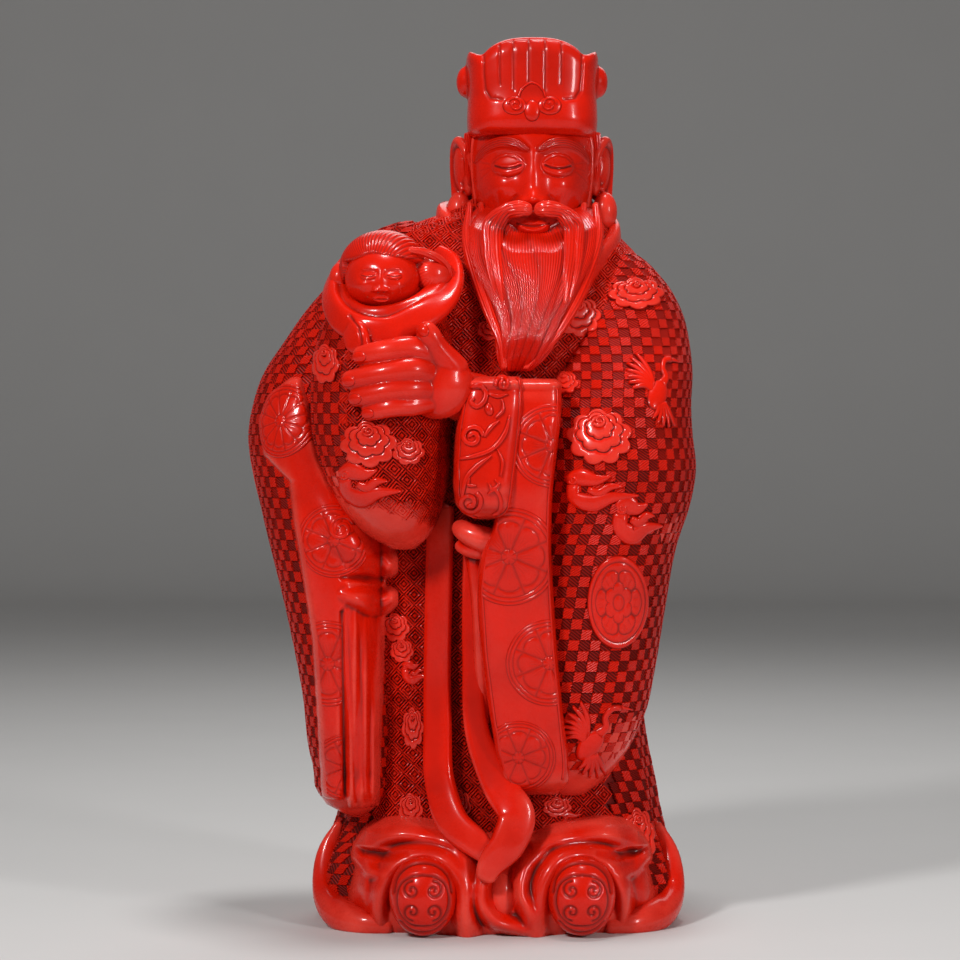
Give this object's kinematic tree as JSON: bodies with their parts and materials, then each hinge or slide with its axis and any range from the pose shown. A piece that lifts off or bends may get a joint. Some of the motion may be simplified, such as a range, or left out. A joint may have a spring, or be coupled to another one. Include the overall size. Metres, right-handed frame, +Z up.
{
  "type": "carved lacquer figure",
  "caption": "Standing bearded robed figure in carved red lacquer, cradling a swaddled child, with patterned robe, wide sleeves, tall hat and a flat sole.",
  "frame": {"origin": "a point on the flat sole, at its middle from left to right and at the middle of the robe from front to back", "axes": "+Z up; the figure faces -Y; its own left side, with the hanging sleeve of the arm that holds the child, is towards +X"},
  "size_m": [0.212, 0.1657, 0.42],
  "materials": {
    "red_lacquer": "polished red carved lacquer on a darker lacquer ground"
  },
  "bodies": {
    "root": {"fu_xing_figure": "red_lacquer"}
  },
  "joints": []
}
